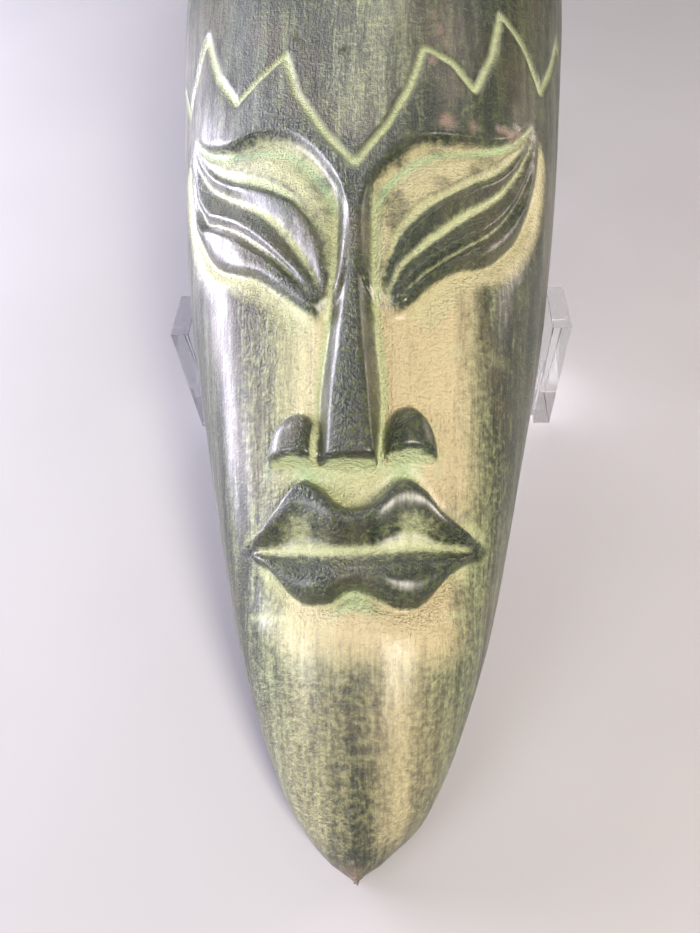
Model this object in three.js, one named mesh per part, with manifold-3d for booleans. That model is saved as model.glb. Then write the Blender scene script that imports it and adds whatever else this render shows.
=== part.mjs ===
// Tall carved wooden face mask resting in a clear acrylic cradle.
// Millimetres, +Z up. The chin points to -Y, the crown to +Y, and the face looks up and forward.
import * as THREE from "three";
import { mergeVertices } from "three/addons/utils/BufferGeometryUtils.js";
import Module from "manifold-3d";

// ---- Mask: overall sizes -------------------------------------------------------------------
const MASK_LENGTH = 495;
const LEAN = THREE.MathUtils.degToRad(16.5);
const SECTION_POWER = 2.25;
const WALL_SIDE = 14;
const WALL_FACE = 17;
const HOLLOW_FROM = 34;
const HOLLOW_TO = 474;

// Half width and height of the face above the rim plane, against distance from the chin tip.
const HALF_WIDTH = [
  [0, 0.5], [4.7, 8.4], [18.4, 19.6], [39, 28.8], [61, 36.2], [111, 47.9], [170, 59.9],
  [241, 69.4], [327, 76.8], [352, 77.2], [400, 74.5], [450, 60], [480, 39], [491, 20], [495, 0.5],
];
const FACE_HEIGHT = [
  [0, 7], [10, 15], [30, 25], [60, 35], [100, 44], [150, 52], [200, 56], [260, 57],
  [330, 56], [400, 50], [450, 38], [480, 24], [495, 8],
];

// ---- Mask: carved features, as places on the unrolled face ----------------------------------
// "across" runs to the wearer's left (+X) from the crest line, "along" runs up from the chin.
const CHEEK_HOLLOW = 4;
const NOSE_FROM = 102.8;
const NOSE_TO = 186;
const UNDERCUT_SLOPE = 3;
const LIP_STEP = 2.2;
const NOSE_LEFT_BASE = [[103, -10.9], [119, -10.4], [138, -8.2], [159, -6.2], [175, -6.2], [186, -9]];
const NOSE_LEFT_EDGE = [[103, -7.2], [117, -6.6], [136, -4.6], [157, -3.4], [173, -3.3], [184, -6.1]];
const NOSE_LEFT_CREST = [[103, -4.3], [117, -3.8], [136, -2], [157, -1.7], [172, -2.3], [184, -5]];
const NOSE_RIGHT_CREST = [[103, 4.8], [117, 3.1], [136, 1.2], [157, -0.1], [172, 0.1], [184, 3]];
const NOSE_RIGHT_BASE = [[103, 5.9], [119, 6.9], [138, 5.4], [159, 4.1], [175, 4], [186, 5.4]];
const NOSE_TOP = [[103, 3.4], [118, 2.8], [140, 1.4], [165, 0.4], [186, 0]];
const NOSE_EDGE_DROP = 0.9;

const WINGS = [
  { at: -17.4, outer: 8.2, inner: 7.7, base: 103.8, rise: 12, height: 6.2 },
  { at: 14.6, outer: 8.4, inner: 6.8, base: 105, rise: 12, height: 6.2 },
];

const LIP_CORNERS = [-35.4, 39.4];
const LIP_TOP = [
  [-35.4, 82.2], [-26.7, 86], [-21.8, 91], [-14.9, 97.5], [-10.9, 96], [-3, 90.2], [0, 89.8],
  [4, 91], [11.4, 97.2], [13.9, 98], [18.9, 95.3], [22.8, 91], [29, 87.4], [39.4, 83.1],
];
const LIP_LINE = [[-35.4, 82], [-21.4, 80.6], [-5.3, 79.5], [5.1, 80.1], [21, 81.7], [39.4, 83]];
const LIP_BOTTOM = [
  [-35.4, 81.8], [-25.7, 77], [-17.8, 69.8], [-12.9, 67.8], [-7.9, 67.8], [-2, 70.8], [0, 71],
  [4, 70], [11.9, 67], [15.9, 67.3], [19.8, 69.3], [27.7, 76.6], [39.4, 82.8],
];

// Each closed eye is a fan of lines from its outer to its inner corner. A line is given by its
// offset from the straight chord between the corners, at these fractions of the chord.
const EYE_STATIONS = [0, 0.06, 0.14, 0.24, 0.34, 0.44, 0.54, 0.64, 0.74, 0.84, 0.93, 1];
const EYES = [
  {
    outer: [-65, 222],
    inner: [-8.6, 141.5],
    side: 1,
    lines: {
      brow: [0, 1.0, 3.5, 8.7, 20.3, 26.0, 27.7, 27.2, 24.3, 17.8, 9.1, 1.2],
      groove: [0, 0.2, 1.0, 5.4, 13.0, 20.0, 22.8, 22.9, 20.0, 13.7, 6.6, 0.8],
      fold: [0, -0.6, -0.6, 0.9, 5.0, 10.1, 13.5, 14.9, 14.6, 11.4, 5.4, 0.5],
      upperLeaf: [0, -1.6, -2.3, -1.8, 0.4, 4.6, 9.1, 12.4, 12.3, 9.1, 4.3, 0.3],
      valley: [0, -2.8, -4.9, -5.4, -3.2, -0.3, 3.0, 4.8, 5.1, 4.6, 2.7, 0.1],
      middleLeaf: [0, -3.6, -7.2, -10.9, -11.0, -7.5, -3.8, -1.2, 0.4, 1.6, 1.8, 0],
      cut: [0, -4.2, -8.4, -13.0, -13.4, -9.7, -6.3, -3.6, -1.2, 0.1, 0.8, -0.1],
      lowerLeaf: [0, -4.8, -9.6, -14.2, -15.1, -11.5, -8.0, -5.6, -3.0, -1.6, -0.6, -0.3],
      foot: [0, -5.6, -11.0, -15.4, -18.0, -18.0, -17.0, -13.2, -7.8, -4.9, -2.5, -0.5],
    },
  },
  {
    outer: [60.2, 220],
    inner: [8.1, 142.7],
    side: -1,
    lines: {
      brow: [0, 0.3, 1.2, 4.8, 13.7, 23.4, 26.5, 27.1, 25.2, 19.5, 11.1, 1.2],
      groove: [0, -0.5, 0.0, 3.0, 9.4, 17.2, 21.3, 22.8, 20.5, 14.6, 7.4, 0.8],
      fold: [0, -1.1, -1.1, -0.1, 2.1, 5.6, 8.9, 12.3, 12.9, 9.8, 5.7, 0.5],
      upperLeaf: [0, -2.0, -3.1, -3.5, -2.1, 1.5, 4.8, 7.4, 8.7, 7.6, 4.5, 0.3],
      valley: [0, -2.8, -4.6, -6.0, -6.2, -4.5, -1.5, 0.9, 3.3, 4.9, 3.3, 0.1],
      middleLeaf: [0, -3.6, -6.7, -8.7, -10.1, -9.9, -8.4, -5.5, -2.4, -0.1, 0.7, 0],
      cut: [0, -4.2, -8.0, -10.6, -12.0, -11.8, -9.8, -6.8, -3.5, -1.0, -0.3, -0.1],
      lowerLeaf: [0, -4.7, -8.5, -11.2, -12.8, -12.8, -11.7, -8.7, -5.6, -3.0, -1.6, -0.3],
      foot: [0, -5.3, -9.9, -13.6, -16.5, -17.2, -16.2, -14.0, -7.7, -4.2, -2.9, -0.5],
    },
  },
];

// Depth of each eye line below (-) or above (+) the uncarved face.
const EYE_DEPTH = {
  brow: 0,
  groove: -4.4,
  fold: -2.4,
  upperLeaf: -1.4,
  valley: -3.8,
  middleLeaf: -0.7,
  cut: -2.6,
  lowerLeaf: -0.4,
  foot: -0.9,
};
const BROW_WALL = 2.4;
const BROW_DROP = -3.8;
const LEAF_STEP = 2.2;
const CHEEK_TRENCH = -2.6;
const TRENCH_WIDTH = 9;

// ---- Cradle --------------------------------------------------------------------------------
const CRADLE_WIDTH = 137.9;
const SHEET = 6.35;
const CHEEK_HEIGHT = 49.5;
const CHEEK_TOP_DEPTH = 20.8;
const CHEEK_FOOT_DEPTH = 32;
const CRADLE_FRONT = 158.2;
const FRONT_PANEL_SETBACK = 4;
const FRONT_PANEL_HEIGHT = 24;
const REAR_PANEL_FROM = 150;
const BASE_MARGIN = 3;
const TOUCH_GAP = 0.3;

// Moves the chin-tip origin to the middle of the object's footprint.
const FOOTPRINT_CENTRE = 78.1;

// ---- Small tools ---------------------------------------------------------------------------

/** Smooth curve through [x, y] pairs that never overshoots them. */
function curveThrough(points) {
  const last = points.length - 1;
  const rise = points.slice(1).map((p, i) => (p[1] - points[i][1]) / (p[0] - points[i][0]));
  const slope = points.map((p, i) => {
    if (i === 0) return rise[0];
    if (i === last) return rise[last - 1];
    const product = rise[i - 1] * rise[i];
    return product <= 0 ? 0 : (2 * product) / (rise[i - 1] + rise[i]);
  });
  return (x) => {
    if (x <= points[0][0]) return points[0][1];
    if (x >= points[last][0]) return points[last][1];
    let i = 0;
    while (x > points[i + 1][0]) i += 1;
    const width = points[i + 1][0] - points[i][0];
    const t = (x - points[i][0]) / width;
    const a = points[i][1] * (1 + 2 * t) * (1 - t) ** 2;
    const b = points[i + 1][1] * (3 - 2 * t) * t ** 2;
    const c = slope[i] * width * t * (1 - t) ** 2;
    const d = slope[i + 1] * width * t ** 2 * (1 - t);
    return a + b + c - d;
  };
}

/** Smooth step from 0 at `from` to 1 at `to`, in either direction. */
function step(from, to, x) {
  const t = THREE.MathUtils.clamp((x - from) / (to - from), 0, 1);
  return t * t * (3 - 2 * t);
}

const halfWidthAt = curveThrough(HALF_WIDTH);
const faceHeightAt = curveThrough(FACE_HEIGHT);

/** Arch section with its arc length from the crest, for a half width and a height. */
function archTable(halfWidth, height, count = 160) {
  const table = [{ u: 0, n: height, s: 0 }];
  for (let i = 1; i <= count; i += 1) {
    const angle = (Math.PI / 2) * (1 - i / count);
    const u = halfWidth * Math.cos(angle) ** (2 / SECTION_POWER);
    const n = height * Math.max(Math.sin(angle), 0) ** (2 / SECTION_POWER);
    const before = table[i - 1];
    table.push({ u, n, s: before.s + Math.hypot(u - before.u, n - before.n) });
  }
  return table;
}

/** Point and outward normal in the section at arc length s from the crest. */
function archPoint(table, s) {
  const reach = Math.min(Math.abs(s), table[table.length - 1].s);
  let i = 0;
  while (i < table.length - 2 && reach > table[i + 1].s) i += 1;
  const [a, b] = [table[i], table[i + 1]];
  const t = (reach - a.s) / (b.s - a.s);
  const sign = s < 0 ? -1 : 1;
  const length = Math.hypot(b.u - a.u, b.n - a.n);
  return {
    u: sign * (a.u + t * (b.u - a.u)),
    n: a.n + t * (b.n - a.n),
    nu: (sign * (a.n - b.n)) / length,
    nn: (b.u - a.u) / length,
  };
}

// ---- Carving -------------------------------------------------------------------------------

const noseLeftBaseAt = curveThrough(NOSE_LEFT_BASE);
const noseLeftEdgeAt = curveThrough(NOSE_LEFT_EDGE);
const noseLeftCrestAt = curveThrough(NOSE_LEFT_CREST);
const noseRightCrestAt = curveThrough(NOSE_RIGHT_CREST);
const noseRightBaseAt = curveThrough(NOSE_RIGHT_BASE);
const noseTopAt = curveThrough(NOSE_TOP);
const lipTopAt = curveThrough(LIP_TOP);
const lipLineAt = curveThrough(LIP_LINE);
const lipBottomAt = curveThrough(LIP_BOTTOM);

const eyes = EYES.map((eye) => {
  const along = new THREE.Vector2(eye.inner[0] - eye.outer[0], eye.inner[1] - eye.outer[1]);
  const chord = along.length();
  along.normalize();
  const lines = {};
  for (const [name, offsets] of Object.entries(eye.lines)) {
    lines[name] = curveThrough(EYE_STATIONS.map((station, i) => [station, offsets[i]]));
  }
  return { ...eye, along, chord, lines };
});

/** Broad hollow of the inner cheeks, from under the lips to the bridge of the nose. */
function cheekHollow(across, along) {
  const lengthwise = step(56, 76, along) * step(186, 152, along);
  return -CHEEK_HOLLOW * lengthwise * step(46, 17, Math.abs(across - 1));
}

/** Closed eye: brow wall, socket, fold and three leaves lofted from line to line. */
function carveEye(eye, across, along, ground) {
  const x = across - eye.outer[0];
  const y = along - eye.outer[1];
  const part = (x * eye.along.x + y * eye.along.y) / eye.chord;
  if (part <= 0 || part >= 1) return ground;
  const offset = eye.side * (y * eye.along.x - x * eye.along.y);
  const at = (name) => eye.lines[name](part);
  const squeeze = Math.min(1, (at("brow") - at("foot")) / 30);
  const knots = [
    [at("foot") - LEAF_STEP - TRENCH_WIDTH, ground],
    [at("foot") - LEAF_STEP, Math.min(ground, 0) + CHEEK_TRENCH * squeeze],
    [at("foot"), EYE_DEPTH.foot * squeeze],
    [at("lowerLeaf"), EYE_DEPTH.lowerLeaf * squeeze],
    [at("cut"), EYE_DEPTH.cut * squeeze],
    [at("middleLeaf"), EYE_DEPTH.middleLeaf * squeeze],
    [at("valley"), EYE_DEPTH.valley * squeeze],
    [at("upperLeaf"), EYE_DEPTH.upperLeaf * squeeze],
    [at("fold"), EYE_DEPTH.fold * squeeze],
    [at("groove"), EYE_DEPTH.groove * squeeze],
    [at("brow") - BROW_WALL * squeeze, BROW_DROP * squeeze],
    [at("brow"), EYE_DEPTH.brow],
  ];
  for (let i = 1; i < knots.length; i += 1) {
    knots[i][0] = Math.max(knots[i][0], knots[i - 1][0] + 0.05);
  }
  if (offset <= knots[0][0] || offset >= knots[knots.length - 1][0]) return ground;
  const ends = step(0, 0.08, part) * step(1, 0.95, part);
  return THREE.MathUtils.lerp(ground, curveThrough(knots)(offset), ends);
}

/** Long wedge nose: flat top, left edge planed off, steep sides, cut square underneath. */
function noseDepth(across, along, ground) {
  if (along < NOSE_FROM - 3 || along > NOSE_TO) return ground;
  const top = noseTopAt(along);
  const lines = [
    [noseLeftBaseAt(along), ground],
    [noseLeftEdgeAt(along), top - NOSE_EDGE_DROP],
    [noseLeftCrestAt(along), top],
    [noseRightCrestAt(along), top],
    [noseRightBaseAt(along), ground],
  ];
  for (let i = 1; i < lines.length; i += 1) {
    const [from, low] = lines[i - 1];
    const [to, high] = lines[i];
    if (across <= from || across >= to) continue;
    const wedge = THREE.MathUtils.mapLinear(across, from, to, low, high);
    const faded = THREE.MathUtils.lerp(ground, wedge, step(NOSE_TO, NOSE_TO - 10, along));
    const under = UNDERCUT_SLOPE * Math.max(NOSE_FROM - along, 0);
    return under > 0 ? Math.max(ground, faded - under) : faded;
  }
  return ground;
}

/** Quarter-dome nostril wings, cut square underneath. */
function wingDepth(across, along, ground) {
  let depth = ground;
  for (const wing of WINGS) {
    const outward = (across - wing.at) * Math.sign(wing.at);
    const x = outward / (outward > 0 ? wing.outer : wing.inner);
    const y = Math.max(along - wing.base, 0) / wing.rise;
    const under = Math.max(wing.base - along, 0);
    const dome = Math.sqrt(Math.max(1 - x * x - y * y, 0));
    depth = Math.max(depth, ground + wing.height * dome - UNDERCUT_SLOPE * under);
  }
  return depth;
}

/** Full closed lips: raised outer edges round a soft valley, with a dip in the middle. */
function lipDepth(across, along, ground) {
  if (across <= LIP_CORNERS[0] || across >= LIP_CORNERS[1]) return ground;
  const top = lipTopAt(across);
  const middle = lipLineAt(across);
  const bottom = lipBottomAt(across);
  const corner = step(0, 9, Math.min(across - LIP_CORNERS[0], LIP_CORNERS[1] - across));
  const dip = 1 - 0.55 * Math.exp(-(((across - 0.5) / 4.5) ** 2));
  const crest = 1.3 * corner * dip - 1.9 * (1 - corner);
  const valley = -2.4;
  const knots = [
    [bottom - 6, ground],
    [bottom - LIP_STEP, ground - 0.6 * corner],
    [bottom, -1.0 * corner - 2.6 * (1 - corner)],
    [bottom + 0.3 * (middle - bottom), crest],
    [middle, valley],
    [middle + 0.7 * (top - middle), crest],
    [top, -0.6 * corner - 2.6 * (1 - corner)],
    [top + LIP_STEP, ground - 0.4 * corner],
    [top + 5, ground],
  ];
  if (along <= knots[0][0] || along >= knots[knots.length - 1][0]) return ground;
  return curveThrough(knots)(along);
}

/** Total carved depth of the face at a place on the unrolled surface. */
function carvedDepth(across, along) {
  let depth = cheekHollow(across, along);
  depth = lipDepth(across, along, depth);
  depth = wingDepth(across, along, depth);
  for (const eye of eyes) depth = carveEye(eye, across, along, depth);
  return noseDepth(across, along, depth);
}

// ---- Solids --------------------------------------------------------------------------------

/** Stations from `from` to `to`, about `pitch` apart, without the last one. */
function stations(from, to, pitch) {
  const count = Math.max(1, Math.round((to - from) / pitch));
  return Array.from({ length: count }, (_, i) => from + ((to - from) * i) / count);
}

/** Closed solid under an arch-shaped skin: rows of points from one foot to the other. */
function archSolid(rows) {
  const columns = rows[0].length;
  const positions = rows.flat().flatMap((p) => [p.x, p.y, p.z]);
  const index = [];
  const id = (row, column) => row * columns + column;
  const quad = (a, b, c, d, flip) => {
    if (flip) index.push(a, d, b, b, d, c);
    else index.push(a, c, b, a, d, c);
  };
  for (let i = 0; i < rows.length - 1; i += 1) {
    for (let j = 0; j < columns - 1; j += 1) {
      const leftHalf = j < (columns - 1) / 2;
      quad(id(i, j), id(i, j + 1), id(i + 1, j + 1), id(i + 1, j), leftHalf);
    }
    quad(id(i, columns - 1), id(i, 0), id(i + 1, 0), id(i + 1, columns - 1), false);
  }
  for (let j = 1; j < columns - 1; j += 1) {
    index.push(id(0, 0), id(0, j), id(0, j + 1));
    const end = rows.length - 1;
    index.push(id(end, 0), id(end, j + 1), id(end, j));
  }
  const geometry = new THREE.BufferGeometry();
  geometry.setAttribute("position", new THREE.Float32BufferAttribute(positions, 3));
  geometry.setIndex(index);
  return geometry;
}

/** Outside of the mask, carved, down to the flat rim plane. */
function maskOutside() {
  const along = [
    ...stations(0, 18, 4.5), ...stations(18, 60, 6), ...stations(60, 120, 2.6),
    ...stations(120, 138, 4.5), ...stations(138, 226, 3.1), ...stations(226, 300, 12),
    ...stations(300, 440, 20), ...stations(440, 480, 10), ...stations(480, MASK_LENGTH, 5),
    MASK_LENGTH,
  ];
  const half = 21;
  const rows = along.map((v) => {
    const table = archTable(halfWidthAt(v), faceHeightAt(v));
    const girth = table[table.length - 1].s;
    const row = [];
    for (let j = half; j >= -half; j -= 1) {
      const s = Math.sign(j) * girth * Math.abs(j / half) ** 1.2;
      const place = archPoint(table, s);
      const depth = carvedDepth(s, v);
      row.push(new THREE.Vector3(place.u + place.nu * depth, v, place.n + place.nn * depth));
    }
    return row;
  });
  return archSolid(rows);
}

/** Plug whose shape is hollowed out of the back of the mask. */
function maskHollow() {
  const count = 26;
  const half = 9;
  const rows = [];
  for (let i = 0; i <= count; i += 1) {
    const t = i / count;
    const v = HOLLOW_FROM + (HOLLOW_TO - HOLLOW_FROM) * t;
    const fullness = Math.sqrt(1 - Math.abs(2 * t - 1) ** 8) + 0.04;
    const width = (halfWidthAt(v) - WALL_SIDE) * fullness;
    const height = (faceHeightAt(v) - WALL_FACE) * fullness;
    const table = archTable(width, height);
    const girth = table[table.length - 1].s;
    const row = [new THREE.Vector3(width, v, -5)];
    for (let j = half; j >= -half; j -= 1) {
      const place = archPoint(table, (girth * j) / half);
      row.push(new THREE.Vector3(place.u, v, place.n));
    }
    row.push(new THREE.Vector3(-width, v, -5));
    rows.push(row);
  }
  return archSolid(rows);
}

/** Flat sheet standing in the YZ plane, cut to an outline and centred on x. */
function uprightSheet(outline, x) {
  const shape = new THREE.Shape(outline.map(([y, z]) => new THREE.Vector2(y, z)));
  const sheet = new THREE.ExtrudeGeometry(shape, { depth: SHEET, bevelEnabled: false });
  sheet.rotateX(Math.PI / 2);
  sheet.rotateZ(Math.PI / 2);
  sheet.translate(x - SHEET / 2, 0, 0);
  return sheet;
}

/** Rear panel whose top is planed to the lean of the mask's rim. */
function rearPanel() {
  const from = REAR_PANEL_FROM;
  const to = from + SHEET;
  const rimAt = (y) => (y + CRADLE_FRONT) * Math.tan(LEAN) - TOUCH_GAP / Math.cos(LEAN);
  const outline = [[from, 0], [to, 0], [to, rimAt(to)], [from, rimAt(from)]];
  const shape = new THREE.Shape(outline.map(([y, z]) => new THREE.Vector2(y, z)));
  const panel = new THREE.ExtrudeGeometry(shape, { depth: CRADLE_WIDTH, bevelEnabled: false });
  panel.rotateX(Math.PI / 2);
  panel.rotateZ(Math.PI / 2);
  panel.translate(-CRADLE_WIDTH / 2, 0, 0);
  return panel;
}

/** Box from its lower to its upper corner. */
function block(low, high) {
  const size = high.map((value, i) => value - low[i]);
  const box = new THREE.BoxGeometry(...size);
  box.translate(...high.map((value, i) => (value + low[i]) / 2));
  return box;
}

// ---- Joining and cutting -------------------------------------------------------------------

const wasm = await Module();
wasm.setup();

/** Closed three.js geometry to a solid that can be joined and cut. */
function toSolid(geometry) {
  const bare = geometry.clone();
  bare.deleteAttribute("normal");
  bare.deleteAttribute("uv");
  const welded = mergeVertices(bare, 1e-4);
  return new wasm.Manifold(new wasm.Mesh({
    numProp: 3,
    vertProperties: new Float32Array(welded.attributes.position.array),
    triVerts: new Uint32Array(welded.index.array),
  }));
}

/** Solid back to a three.js geometry. */
function toGeometry(solid) {
  const mesh = solid.getMesh();
  const geometry = new THREE.BufferGeometry();
  geometry.setAttribute("position", new THREE.BufferAttribute(mesh.vertProperties, 3));
  geometry.setIndex(new THREE.BufferAttribute(mesh.triVerts, 1));
  geometry.computeVertexNormals();
  return geometry;
}

/** Named mesh with its own material. */
function namedMesh(name, solid, finish) {
  const mesh = new THREE.Mesh(toGeometry(solid), new THREE.MeshStandardMaterial(finish));
  mesh.name = name;
  return mesh;
}

const maskSolid = toSolid(maskOutside()).subtract(toSolid(maskHollow()));

const innerFace = CRADLE_WIDTH / 2 - SHEET;
const cheekOutline = [
  [0, 0], [CHEEK_FOOT_DEPTH, 0], [CHEEK_TOP_DEPTH, CHEEK_HEIGHT], [0, CHEEK_HEIGHT],
];
const cheekCentre = (CRADLE_WIDTH - SHEET) / 2;
const basePlate = block(
  [-innerFace - 0.5, FRONT_PANEL_SETBACK, 0],
  [innerFace + 0.5, REAR_PANEL_FROM + BASE_MARGIN, SHEET],
);
const frontPanel = block(
  [-innerFace - 0.5, FRONT_PANEL_SETBACK, 0],
  [innerFace + 0.5, FRONT_PANEL_SETBACK + SHEET, FRONT_PANEL_HEIGHT],
);
const cradleSolid = [
  uprightSheet(cheekOutline, cheekCentre),
  uprightSheet(cheekOutline, -cheekCentre),
  basePlate,
  frontPanel,
  rearPanel(),
].map(toSolid).reduce((whole, piece) => whole.add(piece));

// ---- Assembly ------------------------------------------------------------------------------

const mask = namedMesh("mask", maskSolid, { color: 0x55603f, roughness: 0.38, metalness: 0 });
mask.rotation.x = LEAN;
mask.position.y = -CRADLE_FRONT - FOOTPRINT_CENTRE;

const cradle = namedMesh("acrylic_cradle", cradleSolid, {
  color: 0xe8eef0,
  roughness: 0.06,
  metalness: 0,
  transparent: true,
  opacity: 0.35,
});
cradle.position.y = -FOOTPRINT_CENTRE;

const group = new THREE.Group();
group.add(mask, cradle);

export default group;
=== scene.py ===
"""Tall carved wooden face mask with a green patina, leaning in a clear acrylic cradle.

Metres, +Z up. The chin points to -Y, the crown to +Y, and the face looks up and forward.
Places on the face are given unrolled, in millimetres: "across" runs along the section from the
crest line towards +X, and "along" runs up the mask from the chin tip.
"""

import logging
import math
from dataclasses import dataclass, field
from enum import Enum
from typing import Callable, Sequence

import bmesh
import bpy
import numpy as np
from mathutils import Matrix, Vector


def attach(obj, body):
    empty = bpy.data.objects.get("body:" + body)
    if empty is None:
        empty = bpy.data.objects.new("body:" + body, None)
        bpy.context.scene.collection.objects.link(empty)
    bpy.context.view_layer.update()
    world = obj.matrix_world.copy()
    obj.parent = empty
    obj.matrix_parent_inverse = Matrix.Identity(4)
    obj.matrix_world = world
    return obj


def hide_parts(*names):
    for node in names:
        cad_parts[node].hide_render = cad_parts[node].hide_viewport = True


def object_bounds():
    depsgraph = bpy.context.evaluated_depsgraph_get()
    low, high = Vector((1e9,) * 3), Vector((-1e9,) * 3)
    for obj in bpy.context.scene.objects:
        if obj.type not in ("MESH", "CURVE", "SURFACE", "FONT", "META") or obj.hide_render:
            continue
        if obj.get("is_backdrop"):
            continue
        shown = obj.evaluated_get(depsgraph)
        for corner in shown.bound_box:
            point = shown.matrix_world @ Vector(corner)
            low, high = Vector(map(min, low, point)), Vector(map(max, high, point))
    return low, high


log = logging.getLogger("mask")
logging.basicConfig(level=logging.INFO, format="%(name)s: %(message)s")

Pairs = Sequence[tuple[float, float]]
Colour = tuple[float, float, float]

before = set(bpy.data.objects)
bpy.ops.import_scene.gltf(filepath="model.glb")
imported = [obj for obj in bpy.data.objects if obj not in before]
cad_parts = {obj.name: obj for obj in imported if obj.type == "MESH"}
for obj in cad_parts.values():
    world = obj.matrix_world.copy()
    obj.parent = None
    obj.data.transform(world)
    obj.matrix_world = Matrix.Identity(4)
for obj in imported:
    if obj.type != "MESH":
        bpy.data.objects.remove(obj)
CAD_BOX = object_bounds()

MM = 0.001


# ---------------------------------------------------------------------------- curves and noise


def blend_through(knots_x: Sequence[np.ndarray], knots_y: Sequence[np.ndarray], x: np.ndarray) -> np.ndarray:
    """Smooth curve through knots that may differ from place to place, without overshoot.

    Args:
        knots_x: Rising knot positions, each an array like x.
        knots_y: Knot values, each an array like x.
        x: Where the curve is read.

    Returns:
        The curve's values at x.
    """
    kx = np.stack([np.broadcast_to(k, x.shape) for k in knots_x]).astype(float)
    ky = np.stack([np.broadcast_to(k, x.shape) for k in knots_y]).astype(float)
    width = np.maximum(np.diff(kx, axis=0), 1e-6)
    rise = np.diff(ky, axis=0) / width
    product = rise[:-1] * rise[1:]
    total = rise[:-1] + rise[1:]
    inner = np.where(product > 0, 2 * product / np.where(total == 0, 1, total), 0)
    slope = np.concatenate([rise[:1], inner, rise[-1:]])
    seat = np.clip((x[None] >= kx[1:-1]).sum(axis=0), 0, len(knots_x) - 2)[None]
    take = lambda a: np.take_along_axis(a, seat, axis=0)[0]
    x0, w = take(kx[:-1]), take(width)
    y0, y1 = take(ky[:-1]), take(ky[1:])
    m0, m1 = take(slope[:-1]), take(slope[1:])
    t = np.clip((x - x0) / w, 0, 1)
    bow = m0 * w * t * (1 - t) ** 2 - m1 * w * t**2 * (1 - t)
    return y0 * (1 + 2 * t) * (1 - t) ** 2 + y1 * (3 - 2 * t) * t**2 + bow


def straight_through(knots_x: Sequence[np.ndarray], knots_y: Sequence[np.ndarray],
                     x: np.ndarray) -> np.ndarray:
    """Straight pieces through knots that may differ from place to place.

    Args:
        knots_x: Rising knot positions, each an array like x.
        knots_y: Knot values, each an array like x.
        x: Where the line is read.

    Returns:
        The line's values at x.
    """
    result = np.broadcast_to(knots_y[0], x.shape).astype(float)
    for x0, x1, y0, y1 in zip(knots_x[:-1], knots_x[1:], knots_y[:-1], knots_y[1:]):
        share = np.clip((x - x0) / np.maximum(x1 - x0, 1e-6), 0, 1)
        result = np.where(x > x0, y0 + (y1 - y0) * share, result)
    return result


def curve_through(points: Pairs) -> Callable[[np.ndarray], np.ndarray]:
    """Smooth function through (x, y) pairs, held level past its ends."""
    xs = [np.array(float(p[0])) for p in points]
    ys = [np.array(float(p[1])) for p in points]

    def read(x: np.ndarray) -> np.ndarray:
        """Value of the curve at x."""
        x = np.clip(np.asarray(x, dtype=float), xs[0], xs[-1])
        return blend_through(xs, ys, x)

    return read


def step(start: float, end: float, x: np.ndarray) -> np.ndarray:
    """Smooth step from 0 at start to 1 at end, in either direction."""
    t = np.clip((x - start) / (end - start), 0, 1)
    return t * t * (3 - 2 * t)


def bump_at(x: np.ndarray, centre: float, width: float) -> np.ndarray:
    """Bell of height 1 at centre."""
    return np.exp(-(((x - centre) / width) ** 2))


def softened(sheet: np.ndarray) -> np.ndarray:
    """Sheet with each value blended lightly with its neighbours."""
    result = sheet.copy()
    result[1:-1] = 0.25 * sheet[:-2] + 0.5 * sheet[1:-1] + 0.25 * sheet[2:]
    sheet = result.copy()
    result[:, 1:-1] = 0.25 * sheet[:, :-2] + 0.5 * sheet[:, 1:-1] + 0.25 * sheet[:, 2:]
    return result


def path_distance(path: Pairs, x: np.ndarray, y: np.ndarray) -> np.ndarray:
    """Distance from each (x, y) to an open path of straight pieces."""
    best = np.full(x.shape, 1e9)
    for (ax, ay), (bx, by) in zip(path[:-1], path[1:]):
        dx, dy = bx - ax, by - ay
        t = np.clip(((x - ax) * dx + (y - ay) * dy) / (dx * dx + dy * dy), 0, 1)
        best = np.minimum(best, np.hypot(x - ax - t * dx, y - ay - t * dy))
    return best


def soft_noise(x: np.ndarray, y: np.ndarray, seed: int) -> np.ndarray:
    """Smooth value noise between -1 and 1, one unit per cell."""
    rng = np.random.default_rng(seed)
    table = rng.uniform(-1, 1, (64, 64))
    ix, iy = np.floor(x).astype(int), np.floor(y).astype(int)
    fx, fy = x - ix, y - iy
    fx, fy = fx * fx * (3 - 2 * fx), fy * fy * (3 - 2 * fy)
    corner = lambda i, j: table[(ix + i) % 64, (iy + j) % 64]
    low = corner(0, 0) * (1 - fx) + corner(1, 0) * fx
    high = corner(0, 1) * (1 - fx) + corner(1, 1) * fx
    return low * (1 - fy) + high * fy


# ---------------------------------------------------------------------------- the uncarved block


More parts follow.
